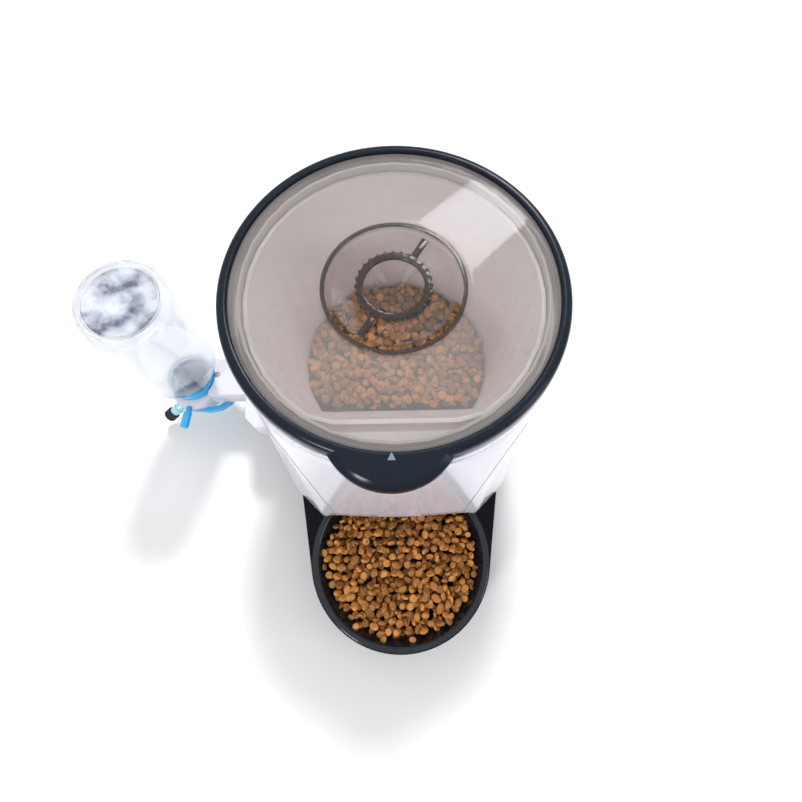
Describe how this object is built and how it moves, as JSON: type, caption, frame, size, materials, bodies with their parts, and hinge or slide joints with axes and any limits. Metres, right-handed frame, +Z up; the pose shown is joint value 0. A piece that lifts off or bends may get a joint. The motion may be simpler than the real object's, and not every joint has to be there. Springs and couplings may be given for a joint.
{
  "type": "automatic pet feeder",
  "caption": "Round automatic pet feeder with a lidded food hopper, a motor-driven rotor and chute, a lift-out bowl in front and an upturned water bottle on a side bracket.",
  "frame": {"origin": "middle of the floor area under the whole object, at floor level", "axes": "+Z up, -Y forward over the bowl, +X to the feeder's right as the bowl is faced, the water bottle on the -X side"},
  "size_m": [0.361, 0.3496, 0.28],
  "materials": {
    "white_shell": "glossy moulded white plastic",
    "navy_plastic": "polished dark navy plastic",
    "black_plastic": "fine satin black plastic",
    "smoke_cover": "clear smoke-tinted plastic",
    "milk_plastic": "satin pale grey plastic",
    "clear_plastic": "clear blown plastic",
    "pale_blue": "pale translucent blue plastic",
    "sky_blue": "glossy sky blue plastic",
    "rubber": "black rubber",
    "seal_rubber": "translucent silicone",
    "steel": "zinc-plated steel",
    "brass": "machined brass",
    "cell_jacket": "plain printed battery jacket",
    "gear_plastic": "natural acetal",
    "board_green": "green circuit board",
    "display_black": "black display window"
  },
  "bodies": {
    "root": {"foot_1": "rubber", "foot_2": "rubber", "foot_3": "rubber", "foot_4": "rubber", "base_screw_1": "steel", "base_screw_2": "steel", "base_screw_3": "steel", "base_screw_4": "steel", "base_shell": "black_plastic", "base_plate": "black_plastic", "battery_case": "black_plastic", "battery_1": "cell_jacket", "battery_2": "cell_jacket", "battery_3": "cell_jacket", "power_socket": "black_plastic", "housing": "white_shell", "front_panel": "white_shell", "display_window": "display_black", "control_board": "board_green", "speaker": "black_plastic", "hopper": "milk_plastic", "rotor_chamber": "milk_plastic", "chute": "black_plastic", "mouth_lining": "black_plastic", "idler_pin": "steel", "gear_plate": "black_plastic", "motor": "steel", "bottle_dock": "white_shell"},
    "lid": {"lid_rim": "navy_plastic", "lid_cover": "smoke_cover", "lid_seal": "seal_rubber", "desiccant_holder": "smoke_cover"},
    "desiccant_cap": {"desiccant_cap": "smoke_cover"},
    "rotor": {"rotor": "sky_blue", "rotor_shaft": "steel", "agitator": "milk_plastic", "drive_gear": "gear_plastic"},
    "idler": {"idler_gear": "gear_plastic"},
    "pinion": {"motor_pinion": "brass"},
    "bowl": {"bowl": "navy_plastic"},
    "battery_door": {"battery_door": "black_plastic"},
    "button_left": {"button_left": "milk_plastic"},
    "button_middle": {"button_middle": "milk_plastic"},
    "button_right": {"button_right": "milk_plastic"},
    "bracket": {"bottle_bracket": "white_shell", "bracket_screw": "steel", "bottle_collar": "sky_blue", "bracket_band": "sky_blue", "valve_body": "pale_blue", "valve_stem": "sky_blue", "nozzle_tube": "pale_blue", "nozzle_tip": "rubber"},
    "nozzle_pin": {"nozzle_pin": "steel"},
    "tap": {"tap_knob": "sky_blue"},
    "bottle": {"bottle": "clear_plastic"}
  },
  "joints": [
    {"name": "lid_lift", "type": "slide", "parent": "root", "child": "lid", "axis": [0, 0, 1], "range_m": [0, 0.12]},
    {"name": "cap_twist", "type": "hinge", "parent": "lid", "child": "desiccant_cap", "pos_m": [0.065, 0.05925, 0.276], "axis": [0, 0, 1], "range_deg": [0, 40]},
    {"name": "rotor_spin", "type": "hinge", "parent": "root", "child": "rotor", "pos_m": [0.065, 0.06525, 0.1], "axis": [0, 0, 1], "continuous": true},
    {"name": "idler_spin", "type": "hinge", "parent": "root", "child": "idler", "pos_m": [0.09025, 0.06525, 0.087], "axis": [0, 0, 1], "continuous": true},
    {"name": "pinion_spin", "type": "hinge", "parent": "root", "child": "pinion", "pos_m": [0.09787, 0.07846, 0.087], "axis": [0, 0, 1], "continuous": true},
    {"name": "bowl_lift", "type": "slide", "parent": "root", "child": "bowl", "axis": [0, 0, 1], "range_m": [0, 0.016]},
    {"name": "battery_door_slide", "type": "slide", "parent": "root", "child": "battery_door", "axis": [0, 1, 0], "range_m": [0, 0.006]},
    {"name": "button_left_press", "type": "slide", "parent": "root", "child": "button_left", "axis": [0, 1, 0], "range_m": [0, 0.0012], "stiffness_N_per_m": 300},
    {"name": "button_middle_press", "type": "slide", "parent": "root", "child": "button_middle", "axis": [0, 1, 0], "range_m": [0, 0.0012], "stiffness_N_per_m": 300},
    {"name": "button_right_press", "type": "slide", "parent": "root", "child": "button_right", "axis": [0, 1, 0], "range_m": [0, 0.0012], "stiffness_N_per_m": 300},
    {"name": "bracket_lift", "type": "slide", "parent": "root", "child": "bracket", "axis": [0, 0, 1], "range_m": [0, 0.03]},
    {"name": "nozzle_pin_press", "type": "slide", "parent": "bracket", "child": "nozzle_pin", "axis": [0.7716, 0.4455, 0.454], "range_m": [0, 0.002], "stiffness_N_per_m": 200},
    {"name": "tap_turn", "type": "hinge", "parent": "bracket", "child": "tap", "pos_m": [-0.137, 0.08125, 0.058], "axis": [-0.1564, -0.9877, 0], "range_deg": [0, 90]},
    {"name": "bottle_lift", "type": "slide", "parent": "bracket", "child": "bottle", "axis": [0, 0, 1], "range_m": [0, 0.1]}
  ],
  "couplings": [
    {"joint": "idler_spin", "follows": "rotor_spin", "ratio": -1.5},
    {"joint": "pinion_spin", "follows": "rotor_spin", "ratio": 3}
  ]
}
